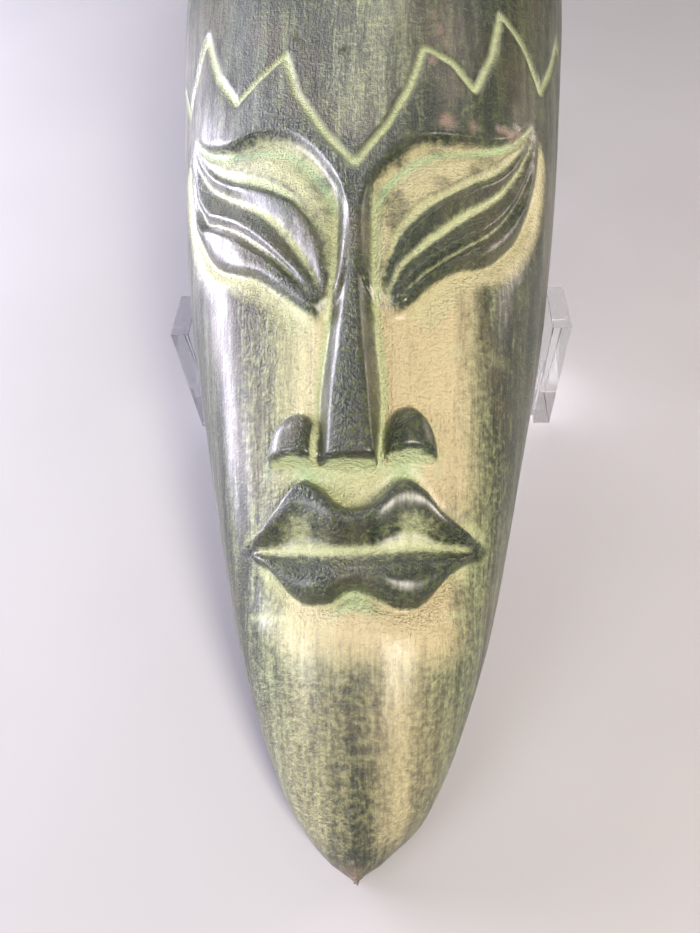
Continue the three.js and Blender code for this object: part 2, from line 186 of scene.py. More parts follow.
@dataclass(frozen=True)
class Blank:
    """The mask's uncarved outer form: arch sections along the chin-to-crown line."""

    length: float = 495.0
    lean: float = math.radians(16.5)
    power: float = 2.25
    chin_y: float = -236.3
    half_width: Pairs = (
        (0, 0.5), (4.7, 8.4), (18.4, 19.6), (39, 28.8), (61, 36.2), (111, 47.9), (170, 59.9),
        (241, 69.4), (327, 76.8), (352, 77.2), (400, 74.5), (450, 60), (480, 39), (491, 20), (495, 0.5),
    )
    face_height: Pairs = (
        (0, 7), (10, 15), (30, 25), (60, 35), (100, 44), (150, 52), (200, 56), (260, 57),
        (330, 56), (400, 50), (450, 38), (480, 24), (495, 8),
    )
    wall_side: float = 14.0
    wall_face: float = 17.0
    hollow: tuple[float, float] = (34.0, 474.0)

    def arch(self, width: np.ndarray, height: np.ndarray, count: int = 240) -> tuple[np.ndarray, ...]:
        """Arch sections with their arc length from the crest.

        Args:
            width: Half width of each section.
            height: Height of each section.
            count: Points from crest to foot.

        Returns:
            Sideways place, height and arc length, each sections by points.
        """
        angle = np.linspace(math.pi / 2, 0, count)[None]
        u = width[:, None] * np.abs(np.cos(angle)) ** (2 / self.power)
        n = height[:, None] * np.abs(np.sin(angle)) ** (2 / self.power)
        u[:, 0] = 0
        n[:, -1] = 0
        piece = np.hypot(np.diff(u, axis=1), np.diff(n, axis=1))
        s = np.concatenate([np.zeros((len(width), 1)), np.cumsum(piece, axis=1)], axis=1)
        return u, n, s

    def to_row(self, u: np.ndarray, v: np.ndarray, n: np.ndarray) -> np.ndarray:
        """Mask coordinates in millimetres to places in the frame in metres."""
        y = self.chin_y + v * math.cos(self.lean) - n * math.sin(self.lean)
        z = v * math.sin(self.lean) + n * math.cos(self.lean)
        return np.stack([u, y, z], axis=-1) * MM


# ---------------------------------------------------------------------------- relief


@dataclass
class Relief:
    """A sheet of places on the unrolled face, with what has been carved and painted there."""

    across: np.ndarray
    along: np.ndarray
    depth: np.ndarray
    # Negative pale values are painted shadow lines, which the material turns near black.
    pale: np.ndarray
    mint: np.ndarray
    cream: np.ndarray
    line: np.ndarray
    bare: np.ndarray
    calm: np.ndarray

    @classmethod
    def flat(cls, across: np.ndarray, along: np.ndarray) -> "Relief":
        """Sheet with nothing carved or painted yet."""
        blank = [np.zeros(across.shape) for _ in range(7)]
        return cls(across, along, *blank)


@dataclass(frozen=True)
class FaceGround:
    """Broad form of cheeks and chin, the rubbed pale paint on them, and painted sheen bands on the chin."""

    hollow: float = 4.0

    def carve(self, r: Relief) -> None:
        """Sink the inner cheeks, lay the rubbed paint and paint sheen bands down the chin."""
        s, v = r.across, r.along
        lengthwise = step(56, 76, v) * step(186, 152, v)
        r.depth -= self.hollow * lengthwise * step(46, 17, np.abs(s - 1))
        reach = np.where(s > 0, s / 1.30, -s)
        middle = step(46, 24, reach) * step(-4, 14, v) * step(205, 150, v)
        r.pale = 0.40 * middle
        inner = step(38, 17, reach) * step(70, 100, v) * step(184, 150, v)
        inner = inner * (0.80 + 0.20 * step(-24, 2, s))
        under = step(36, 14, reach) * step(42, 60, v) * step(92, 70, v)
        chin = step(62, 44, v)
        r.cream = np.maximum(np.maximum(inner, 0.95 * under), 0.72 * chin * step(40, 14, np.abs(s)))
        r.cream *= 0.62 + 0.38 * step(-20, 8, s)
        r.calm = np.maximum(r.calm, 0.4 * chin)
        # Painted sheen: paler vertical bands right and left of the chin's middle, with a darker band down
        # the middle between them.
        painted_chin_sheen = 0.28 * bump_at(s, 11, 5) - 0.09 * bump_at(s, 0, 4.5) + 0.10 * bump_at(s, -12, 5)
        r.pale += painted_chin_sheen * step(66, 50, v) * step(2, 14, v)
        r.pale = np.maximum(r.pale, np.maximum(0.95 * inner, 0.92 * under))
        forehead = bump_at(s, 2, 17) * step(184, 214, v) * 0.36
        r.pale = np.maximum(r.pale, forehead)
        r.cream = np.maximum(r.cream, 0.4 * forehead)


@dataclass(frozen=True)
class EyeCarving:
    """A closed eye: brow wall, socket, fold and three leaves between its two corners.

    Every line is given by its offset from the straight chord between the corners, at the
    same stations along that chord.
    """

    outer: tuple[float, float]
    inner: tuple[float, float]
    side: int
    brow: Sequence[float]
    groove: Sequence[float]
    fold: Sequence[float]
    upper_leaf: Sequence[float]
    valley: Sequence[float]
    middle_leaf: Sequence[float]
    cut: Sequence[float]
    lower_leaf: Sequence[float]
    foot: Sequence[float]

    STATIONS = (0, 0.06, 0.14, 0.24, 0.34, 0.44, 0.54, 0.64, 0.74, 0.84, 0.93, 1)

    def carve(self, r: Relief) -> None:
        """Loft depth and paint from line to line and blend them in at the corners."""
        dx, dy = self.inner[0] - self.outer[0], self.inner[1] - self.outer[1]
        chord = math.hypot(dx, dy)
        dx, dy = dx / chord, dy / chord
        x, y = r.across - self.outer[0], r.along - self.outer[1]
        part = (x * dx + y * dy) / chord
        offset = self.side * (y * dx - x * dy)
        read = lambda name: curve_through(list(zip(self.STATIONS, getattr(self, name))))(part)
        lines = {name: read(name) for name in (
            "brow", "groove", "fold", "upper_leaf", "valley", "middle_leaf", "cut", "lower_leaf", "foot")}
        squeeze = np.minimum(1, (lines["brow"] - lines["foot"]) / 30)
        ground = r.depth
        one = np.ones(part.shape)
        between = lambda a, b, share: lines[a] + (lines[b] - lines[a]) * share
        # Knots with negative paint are painted shadow: thin near-black lines under the leaf edges, along the
        # foot and just under the brow edge, where the paint on the brow wall also darkens as painted shade.
        plan = [
            (lines["foot"] - 10.0, ground, r.pale, 0),
            (lines["foot"] - 4.5, ground - 1.0 * squeeze, np.maximum(r.pale, 0.85), 0),
            (lines["foot"] - 1.2, ground * 0.4 - 2.6 * squeeze, 0.95 * one, 0),
            (lines["foot"] - 0.3, -1.7 * squeeze, -0.35 * one, 0),
            (lines["foot"] + 0.5, -0.7 * squeeze, 0.0 * one, 0),
            (between("foot", "lower_leaf", 0.5), 0.1 * squeeze, 0.0 * one, 0),
            (lines["lower_leaf"], -0.2 * squeeze, 0.0 * one, 0),
            (lines["lower_leaf"] + 0.5, -1.5 * squeeze, -0.30 * one, 0),
            (between("lower_leaf", "middle_leaf", 0.5), -2.6 * squeeze, 0.97 * one, 0),
            (lines["middle_leaf"] - 0.7, -1.7 * squeeze, -0.25 * one, 0),
            (lines["middle_leaf"], -0.4 * squeeze, 0.0 * one, 0),
            (between("middle_leaf", "valley", 0.4), -1.7 * squeeze, 0.0 * one, 0),
            (between("middle_leaf", "valley", 0.75), -3.0 * squeeze, 0.10 * one, 0),
            (lines["valley"] - 0.7, -3.6 * squeeze, 0.75 * one, 0),
            (lines["valley"] + 0.5, -3.7 * squeeze, 0.95 * one, 0),
            (between("valley", "upper_leaf", 0.25), -3.1 * squeeze, 0.40 * one, 0),
            (between("valley", "upper_leaf", 0.5), -2.3 * squeeze, 0.03 * one, 0),
            (between("valley", "upper_leaf", 0.85), -1.2 * squeeze, 0.0 * one, 0),
            (lines["upper_leaf"] - 0.3, -1.0 * squeeze, 0.0 * one, 0),
            (lines["upper_leaf"] + 0.5, -2.4 * squeeze, -0.30 * one, 0),
            (between("upper_leaf", "fold", 0.5), -3.0 * squeeze, 0.95 * one, 0.2),
            (lines["fold"] - 0.7, -3.0 * squeeze, 0.85 * one, 0.1),
            (lines["fold"], -2.1 * squeeze, 0.32 * one, 0),
            (lines["fold"] + 0.8, -2.6 * squeeze, 0.80 * one, 0),
            (between("fold", "groove", 0.5), -2.7 * squeeze, 0.90 * one, 0),
            (lines["groove"] - 1.6, -3.7 * squeeze, 0.92 * one, 0.1),
            (lines["groove"], -4.1 * squeeze, 0.95 * one, 0.62),
            (lines["groove"] + 1.4, -4.2 * squeeze, 0.88 * one, 0.1),
            (lines["brow"] - 2.4, -3.9 * squeeze, 0.76 * one, 0),
            (lines["brow"] - 1.4, -3.2 * squeeze, 0.68 * one, 0),
            (lines["brow"] - 0.7, -1.9 * squeeze, 0.36 * one, 0),
            (lines["brow"] - 0.2, -0.5 * squeeze, -0.40 * one, 0),
            (lines["brow"] + 0.5, -0.05 * squeeze, 0.0 * one, 0),
            (lines["brow"] + 1.4, 0.0 * one, 0.0 * one, 0),
        ]
        xs = [plan[0][0]]
        for knot in plan[1:]:
            xs.append(np.maximum(knot[0], xs[-1] + 0.04))
        lofted = lambda k: blend_through(xs, [p[k] * one for p in plan], offset)
        inside = (part > 0) & (part < 1) & (offset > xs[0]) & (offset < xs[-1])
        ends = np.where(inside, step(0, 0.07, part) * step(1, 0.93, part), 0)
        worn = np.clip(soft_noise(r.across / 6 + 7, r.along / 6, 51)
                       + 0.4 * soft_noise(r.across / 2, r.along / 2, 52), 0, 1)
        shelf = (offset > lines["fold"] + 0.5) & (offset < lines["brow"])
        paint = lofted(2) * np.where(shelf, 0.93 - 0.42 * worn, 1 - 0.15 * worn)
        paint = paint * (0.88 if self.outer[0] < 0 else 1.0)
        r.depth = ground + (lofted(1) - ground) * ends
        r.pale = r.pale + (paint - r.pale) * ends
        r.mint = np.maximum(r.mint, lofted(3) * ends)
        shelf = (offset < lines["foot"] - 0.5) | (offset > lines["upper_leaf"])
        warmth = 0.34 if self.outer[0] < 0 else 0.62
        r.cream = np.where(ends > 0, r.cream * (1 - ends) + ends * np.where(shelf, warmth, 0.1), r.cream)
        r.cream = r.cream * (1 - 0.8 * np.clip(r.mint, 0, 1))
        r.calm = np.maximum(r.calm, ends * step(-10, -5, offset - lines["foot"]))


@dataclass(frozen=True)
class NoseCarving:
    """Long wedge nose with its left edge planed off, and the wings beside its foot."""

    foot: float = 102.8
    bridge: float = 186.0
    left_base: Pairs = ((103, -10.9), (119, -10.4), (138, -8.2), (159, -6.2), (175, -6.2), (186, -9))
    left_edge: Pairs = ((103, -7.2), (117, -6.6), (136, -4.6), (157, -3.4), (173, -3.3), (184, -6.1))
    left_crest: Pairs = ((103, -4.3), (117, -3.8), (136, -2), (157, -1.7), (172, -2.3), (184, -5))
    right_crest: Pairs = ((103, 4.8), (117, 3.1), (136, 1.2), (157, -0.1), (172, 0.1), (184, 3))
    right_base: Pairs = ((103, 5.9), (119, 6.9), (138, 5.4), (159, 4.1), (175, 4), (186, 5.4))
    top: Pairs = ((103, 3.4), (118, 2.8), (140, 1.4), (165, 0.4), (186, 0))
    edge_drop: float = 0.9
    undercut: float = 5.0
    wings: Sequence[tuple[float, float, float, float, float, float]] = (
        (-17.4, 8.2, 7.7, 103.8, 12.0, 6.0),
        (14.6, 8.4, 6.8, 105.2, 12.0, 6.0),
    )
    wing_undercut: float = 3.0

    def lines(self, v: np.ndarray) -> list[np.ndarray]:
        """The five long lines of the wedge, from its left base to its right base."""
        names = (self.left_base, self.left_edge, self.left_crest, self.right_crest, self.right_base)
        return [curve_through(points)(v) for points in names]

    def carve(self, r: Relief) -> None:
        """Raise the wings and then the wedge out of the cheeks."""
        for wing in self.wings:
            self.carve_wing(r, *wing)
        self.carve_wedge(r)

    def carve_wing(self, r: Relief, at: float, outward: float, inward: float, base: float,
                   rise: float, height: float) -> None:
        """Raise one quarter-dome wing, cut square underneath.

        Args:
            r: The relief being carved.
            at: Place of the wing's middle across the face.
            outward: Reach away from the nose.
            inward: Reach towards the nose.
            base: Place of its lower edge along the face.
            rise: Reach up the face.
            height: How far it stands out.
        """
        s, v = r.across, r.along
        out = (s - at) * math.copysign(1, at)
        power = np.where(out > 0, 2.1, 2.7)
        arch = base + 1.0 * bump_at(out, 0.5, 5.0) - 0.4
        x = np.abs(out) / np.where(out > 0, outward, inward)
        y = np.maximum(v - arch, 0) / rise
        inside = 1 - x**power - y**power
        dome = np.sqrt(np.clip(inside, 0, 1))
        raised = r.depth + height * dome - self.wing_undercut * np.maximum(arch - v, 0) * (dome > 0)
        lift = step(0.0, 0.1, inside) * (raised > r.depth + 0.01)
        # Pale underside, with a painted shadow line along the wing's lower edge.
        paint = step(arch - 0.3, arch - 0.8, v) * 1.5 - 0.4 * bump_at(v, arch, 0.7)
        r.pale += (paint - r.pale) * lift
        r.cream *= 1 - lift
        r.calm = np.maximum(r.calm, lift)
        halo = bump_at(inside, -0.22, 0.16) * (v > base - 5) * (v < base + 9)
        stain = np.clip(soft_noise(s / 5, v / 5, 3) + 0.55, 0, 1)
        r.mint = np.maximum(r.mint * (1 - lift), (0.5 * halo + 0.22 * lift * (v < arch - 0.3)) * stain)
        r.depth = np.maximum(r.depth, raised)

    def carve_wedge(self, r: Relief) -> None:
        """Raise the wedge between its five lines."""
        s, v = r.across, r.along
        lb, le, lc, rc, rb = self.lines(v)
        top = curve_through(self.top)(v)
        ground, one = r.depth, np.ones(s.shape)
        fade = step(self.bridge, self.bridge - 12, v)
        plan = [
            (lb - 1.7, ground, r.pale),
            (lb - 0.8, ground - 0.35 * fade, 0.96 * one),
            (lb, ground - 0.35 * fade, 0.85 * one),
            (lb + 0.45, ground * 0.87 + (top - self.edge_drop) * 0.13, 0.12 * one),
            (le, top - self.edge_drop, 0.0 * one),
            (lc, top, 0.0 * one),
            (rc, top, 0.0 * one),
            (rc + 0.55 * (rb - rc), 0.45 * top + 0.55 * ground, 0.03 * one),
            (rb - 0.5, 0.1 * top + 0.9 * ground, 0.35 * one),
            (rb, ground - 0.35 * fade, 0.85 * one),
            (rb + 0.8, ground - 0.35 * fade, 0.96 * one),
            (rb + 1.7, ground, r.pale),
        ]
        xs = [plan[0][0]]
        for knot in plan[1:]:
            xs.append(np.maximum(knot[0], xs[-1] + 0.02))
        wedge = straight_through(xs, [p[1] * one for p in plan], s)
        paint = straight_through(xs, [p[2] * one for p in plan], s)
        inside = (s > xs[0]) & (s < xs[-1]) & (v > self.foot - 2.5) & (v < self.bridge)
        above = step(self.foot - 2.4, self.foot - 1.6, v)
        weight = np.where(inside, fade * above, 0)
        under = np.maximum(self.foot - v, 0)
        wedge = np.where(under > 0, np.maximum(ground, wedge - self.undercut * under), wedge)
        body = np.where(inside & (s > lb) & (s < rb), 1.0, 0.0)
        r.depth = ground + (wedge - ground) * weight
        below = step(0.3, 0.6, under) * body
        # Painted shadow: a thin dark line along the nose's lower edge, above its pale underside.
        paint = paint - 0.6 * bump_at(v, self.foot - 0.1, 0.5) * body * (1 - below)
        paint = paint + (1.1 - paint) * below
        r.pale = r.pale + (paint - r.pale) * weight
        r.cream *= 1 - weight
        r.mint *= 1 - weight
        r.mint = np.maximum(r.mint, 0.12 * below * weight)
        r.calm = np.maximum(r.calm, weight)


@dataclass(frozen=True)
class LipCarving:
    """Full closed lips, and the sunk triangle between them and the nose."""

    corners: tuple[float, float] = (-35.4, 39.4)
    top: Pairs = (
        (-35.4, 82.2), (-26.7, 86), (-21.8, 91), (-14.9, 97.5), (-10.9, 96), (-3, 90.2), (0, 89.8),
        (4, 91), (11.4, 97.2), (13.9, 98), (18.9, 95.3), (22.8, 91), (29, 87.4), (39.4, 83.1),
    )
    middle: Pairs = ((-35.4, 82), (-21.4, 80.6), (-5.3, 79.5), (5.1, 80.1), (21, 81.7), (39.4, 83))
    bottom: Pairs = (
        (-35.4, 81.8), (-25.7, 77), (-17.8, 69.8), (-12.9, 67.8), (-7.9, 67.8), (-2, 70.8), (0, 71),
        (4, 70), (11.9, 67), (15.9, 67.3), (19.8, 69.3), (27.7, 76.6), (39.4, 82.8),
    )

    def carve(self, r: Relief) -> None:
        """Loft the lips across their height."""
        s, v = r.across, r.along
        top, middle, bottom = (curve_through(p)(s) for p in (self.top, self.middle, self.bottom))
        r.calm = np.maximum(r.calm, step(24, 20, np.abs(s)) * step(86, 88, v) * step(106, 103, v))
        philtrum = step(16, 9, np.abs(s)) * step(88, 93, v) * step(104.5, 101.5, v)
        r.depth -= 1.0 * philtrum
        r.pale = np.maximum(r.pale, 0.88 * philtrum)
        r.cream *= 1 - 0.55 * philtrum
        beside = bump_at(np.abs(s), 14, 5) * step(95, 101, v) * step(106, 103, v)
        r.mint = np.maximum(r.mint, 0.5 * beside)
        corner = step(0, 9, np.minimum(s - self.corners[0], self.corners[1] - s))
        dip = 1 - 0.55 * bump_at(s, 0.3, 4.2)
        crest = 1.4 * corner * dip - 1.9 * (1 - corner)
        ground, one = r.depth, np.ones(s.shape)
        rim = -0.9 * corner - 2.6 * (1 - corner)
        lobes = bump_at(np.abs(s - 0.5), 15, 7)
        mottle = np.clip(0.5 + 0.8 * soft_noise(s / 3.5, v / 3.5, 41), 0, 1)
        spread = 0.3 + 0.35 * mottle
        tip = step(1.5, 7, np.minimum(s - self.corners[0], self.corners[1] - s))
        # The -0.6 paint just below and just above the lips' outline is a painted shadow line.
        plan = [
            (bottom - 6, ground, r.pale),
            (bottom - 2.6, ground - 0.9 * corner, np.maximum(r.pale, 0.9 * corner)),
            (bottom - 0.9, ground - 1.2 * corner, np.maximum(r.pale, 0.85 * corner)),
            (bottom - 0.2, rim - 0.4, -0.6 * one),
            (bottom + 0.5, rim + 0.7, 0.0 * one),
            (bottom + 0.16 * (middle - bottom), crest - 0.4 * corner, 0.0 * one),
            (bottom + 0.36 * (middle - bottom), crest, 0.0 * one),
            (bottom + 0.66 * (middle - bottom), crest - 1.6 * corner, 0.10 * one),
            (middle - 1.3, -2.35 * one, 0.30 * tip),
            (middle - 0.2, -2.6 * one, 0.86 * tip),
            (middle + 0.5, -2.6 * one, 0.86 * tip),
            (middle + 0.20 * (top - middle), -2.2 - 0.3 * lobes, (0.12 + 0.75 * spread * lobes) * tip),
            (middle + 0.42 * (top - middle), crest - 1.5 * corner - 0.5 * lobes,
             0.05 + 0.50 * lobes * mottle),
            (middle + 0.78 * (top - middle), crest, 0.02 * one),
            (middle + 0.92 * (top - middle), crest - 0.3 * corner, 0.0 * one),
            (top, rim + 0.1, 0.0 * one),
            (top + 0.4, rim - 0.6, -0.6 * one),
            (top + 1.0, ground - 0.4 * corner, np.maximum(r.pale, 0.7)),
            (top + 5, ground, r.pale),
        ]
        xs = [plan[0][0]]
        for knot in plan[1:]:
            xs.append(np.maximum(knot[0], xs[-1] + 0.04))
        inside = (s > self.corners[0]) & (s < self.corners[1]) & (v > xs[0]) & (v < xs[-1])
        depth = blend_through(xs, [p[1] * one for p in plan], v)
        pale = blend_through(xs, [p[2] * one for p in plan], v)
        on_lip = inside & (v > bottom - 0.8) & (v < top + 0.8)
        r.calm = np.where(inside, np.maximum(r.calm, on_lip), r.calm)
        end = step(0, 3.4, np.minimum(s - self.corners[0], self.corners[1] - s))
        r.depth = np.where(inside, ground + (depth - ground) * end, ground)
        r.pale = np.where(inside, pale, r.pale)
        r.cream = np.where(on_lip, 0, r.cream)
        r.mint = np.where(on_lip, 0, r.mint)
        under = inside & (v < bottom - 0.8)
        r.mint = np.where(under, 0.4 * bump_at(s, 0, 6), r.mint)


@dataclass(frozen=True)
class BrowBand:
    """Incised zigzag line across the forehead, painted pale."""

    path: Pairs = (
        (-101, 238), (-84, 262), (-70, 236), (-65, 246.5), (-58.5, 261), (-50.5, 237), (-41, 221.3),
        (-24, 234), (-19.5, 217), (-10.5, 201), (-1.2, 188.6), (8.2, 202), (15.4, 218), (19.5, 233),
        (28.5, 228.2), (35.5, 219.5), (42, 236), (46, 255.5), (55, 248.5), (64, 235), (72.5, 251),
        (81, 272), (90, 262), (103, 240),
    )
    half_width: float = 0.80
    depth: float = 1.0

    def carve(self, r: Relief) -> None:
        """Cut the groove and paint it."""
        wander = 0.18 * soft_noise(r.across / 3, r.along / 3, 11)
        distance = path_distance(self.path, r.across, r.along) + wander
        r.depth -= self.depth * step(self.half_width + 0.75, 0.1, distance)
        r.line = step(self.half_width + 0.30, self.half_width - 0.20, distance)
        # Painted shade: a dark line along each edge of the groove.
        r.pale -= 0.4 * bump_at(distance, self.half_width + 0.55, 0.3)


@dataclass(frozen=True)
class Wear:
    """Dents, chips and scratches, as places on the unrolled face."""

    dents: Sequence[tuple[float, float, float, float, float]] = (
        (-20.5, 241, 1.5, 3.0, 0.9), (-5.5, 231.5, 1.2, 1.5, 0.9), (-5, 28, 3.2, 1.6, 0.8),
        (63, 137, 1.2, 2.4, 0.5), (11, 85.5, 3.0, 0.5, 0.5),
    )
    chips: Sequence[tuple[float, float, float, float]] = (
        (26, 206, 2.3, 3.2), (34.2, 206, 1.2, 2.8), (47, 208.6, 4.6, 1.4), (52, 211.5, 2.4, 1.6),
        (22.5, 247, 0.8, 2.6), (24.4, 241, 0.7, 3.2), (26, 236.5, 0.6, 2.0), (22, 227.6, 0.9, 1.8),
        (-1, 1.5, 4.5, 2.4), (63, 137, 0.9, 2.0),
    )
    scratches: Sequence[tuple[Pairs, float, float]] = (
        (((-32, 64.6), (-24, 64.2), (-18, 63.4)), 0.40, 0.25),
        (((25, 65.2), (31, 66.0)), 0.35, 0.2),
        (((-25.5, 255), (-24.6, 240), (-24.8, 224), (-24.4, 213)), 0.3, 0.5),
        (((-22, 252), (-21.4, 240)), 0.25, 0.4),
        (((24, 134.5), (38, 134.2), (52, 135)), 0.14, 0.25),
        (((15, 120), (19, 116.5)), 0.2, 0.5),
    )

    def carve(self, r: Relief) -> None:
        """Press the dents, lift the chips and draw the scratches."""
        s, v = r.across, r.along
        for x, y, rx, ry, deep in self.dents:
            d = np.hypot((s - x) / rx, (v - y) / ry)
            r.depth -= deep * step(1, 0.3, d)
            r.depth += 0.25 * deep * np.exp(-(((d - 1.25) / 0.2) ** 2))
        for x, y, rx, ry in self.chips:
            ragged = 0.45 * soft_noise(s / 1.3, v / 2.2, 17) + 0.2 * soft_noise(s / 0.6, v / 0.8, 23)
            d = np.hypot((s - x) / rx, (v - y) / ry) + ragged
            r.bare = np.maximum(r.bare, step(1.25, 0.6, d))
            r.depth -= 0.3 * step(1.1, 0.8, d)
        for path, half, deep in self.scratches:
            d = path_distance(path, s, v)
            r.depth -= deep * 0.5 * step(half * 2.2, 0, d)
            r.line = np.maximum(r.line, step(half * 2, half * 0.5, d) * (0.7 if half > 0.3 else 0.35))


@dataclass(frozen=True)
class ChiselWork:
    """Slight unevenness left by the carver over the whole face."""

    def carve(self, r: Relief) -> None:
        """Lay long shallow tool marks and cut the small facet beside the chin."""
        s, v = r.across, r.along
        r.depth += 0.16 * soft_noise(s / 9, v / 34, 5) + 0.07 * soft_noise(s / 3.2, v / 16, 7)
        facet = step(0, 3, s) * step(24, 19, s) * step(26, 12, v - s)
        r.depth -= 1.6 * facet * step(22, 8, v)


# ---------------------------------------------------------------------------- node sheets


class NodeSheet:
    """Short hand for laying out shader nodes."""

    def __init__(self, tree: bpy.types.NodeTree) -> None:
        """Start on an empty tree."""
        self.tree = tree
        tree.nodes.clear()

    def add(self, kind: str, **settings: object) -> bpy.types.Node:
        """New node with its plain properties set."""
        node = self.tree.nodes.new(kind)
        for name, value in settings.items():
            setattr(node, name, value)
        return node

    def link(self, source: object, target: object) -> None:
        """Join an output to an input."""
        self.tree.links.new(source, target)

    def feed(self, socket: object, value: object) -> None:
        """Give an input a number, a colour or another node's output."""
        if isinstance(value, bpy.types.NodeSocket):
            self.link(value, socket)
        elif isinstance(value, tuple) and len(value) == 3 and socket.type == "RGBA":
            socket.default_value = (*value, 1.0)
        else:
            socket.default_value = value

    def maths(self, operation: str, a: object, b: object = 0.0) -> object:
        """Output of a Math node."""
        node = self.add("ShaderNodeMath", operation=operation)
        self.feed(node.inputs[0], a)
        self.feed(node.inputs[1], b)
        return node.outputs[0]

    def times(self, a: object, b: object) -> object:
        """Product of two values."""
        return self.maths("MULTIPLY", a, b)

    def plus(self, a: object, b: object) -> object:
        """Sum of two values."""
        return self.maths("ADD", a, b)

    def minus(self, a: object, b: object) -> object:
        """First value less the second."""
        return self.maths("SUBTRACT", a, b)

    def most(self, a: object, b: object) -> object:
        """Greater of two values."""
        return self.maths("MAXIMUM", a, b)

    def remap(self, value: object, low: float, high: float,
              to_low: float = 0.0, to_high: float = 1.0) -> object:
        """Output of a clamped, smooth Map Range node."""
        node = self.add("ShaderNodeMapRange", interpolation_type="SMOOTHSTEP")
        for socket, item in zip(node.inputs[:5], (value, low, high, to_low, to_high)):
            self.feed(socket, item)
        return node.outputs["Result"]

    def mix(self, share: object, a: object, b: object) -> object:
        """Output of a colour Mix node."""
        node = self.add("ShaderNodeMix", data_type="RGBA")
        self.feed(node.inputs[0], share)
        self.feed(node.inputs[6], a)
        self.feed(node.inputs[7], b)
        return node.outputs[2]

    def noise(self, vector: object, scale: float, detail: float = 3.0, rough: float = 0.55) -> object:
        """Factor of a Noise Texture node."""
        node = self.add("ShaderNodeTexNoise")
        self.feed(node.inputs["Vector"], vector)
        node.inputs["Scale"].default_value = scale
        node.inputs["Detail"].default_value = detail
        node.inputs["Roughness"].default_value = rough
        return node.outputs["Fac"]

    def attribute(self, name: str) -> object:
        """Number stored on the mesh's points."""
        return self.add("ShaderNodeAttribute", attribute_name=name).outputs["Fac"]

    def stretched(self, vector: object, scale: Colour) -> object:
        """Vector scaled by a Mapping node."""
        node = self.add("ShaderNodeMapping")
        self.feed(node.inputs["Vector"], vector)
        node.inputs["Scale"].default_value = scale
        return node.outputs["Vector"]


def new_finish(name: str) -> tuple[bpy.types.Material, NodeSheet, bpy.types.Node, bpy.types.Node]:
    """Start a material.

    Args:
        name: Name of the material.

    Returns:
        The material, its node sheet, its output node and an unlinked Principled node.
    """
    material = bpy.data.materials.new(name)
    material.use_nodes = True
    sheet = NodeSheet(material.node_tree)
    return material, sheet, sheet.add("ShaderNodeOutputMaterial"), sheet.add("ShaderNodeBsdfPrincipled")



def grain_group() -> bpy.types.NodeTree:
    """Wood grain: long streaks along the piece, fine fibres and open pores.

    Returns:
        A node group with Vector in, and Streaks, Fibres, Pores and Clouds out.
    """
    tree = bpy.data.node_groups.new("wood_grain", "ShaderNodeTree")
    tree.interface.new_socket("Vector", in_out="INPUT", socket_type="NodeSocketVector")
    for name in ("Streaks", "Fibres", "Pores", "Clouds"):
        tree.interface.new_socket(name, in_out="OUTPUT", socket_type="NodeSocketFloat")
    sheet = NodeSheet(tree)
    source = sheet.add("NodeGroupInput").outputs["Vector"]
    target = sheet.add("NodeGroupOutput")
    streaks = sheet.noise(sheet.stretched(source, (1.0, 0.07, 1.0)), 26.0, 4.0, 0.6)
    fibres = sheet.noise(sheet.stretched(source, (1.0, 0.10, 1.0)), 130.0, 3.0, 0.65)
    pores = sheet.noise(sheet.stretched(source, (1.0, 0.35, 1.0)), 95.0, 2.0, 0.7)
    clouds = sheet.noise(sheet.stretched(source, (1.0, 0.55, 1.0)), 4.2, 3.0, 0.55)
    sheet.link(streaks, target.inputs["Streaks"])
    sheet.link(fibres, target.inputs["Fibres"])
    sheet.link(sheet.remap(pores, 0.66, 0.82), target.inputs["Pores"])
    sheet.link(clouds, target.inputs["Clouds"])
    return tree


# ---------------------------------------------------------------------------- finishes


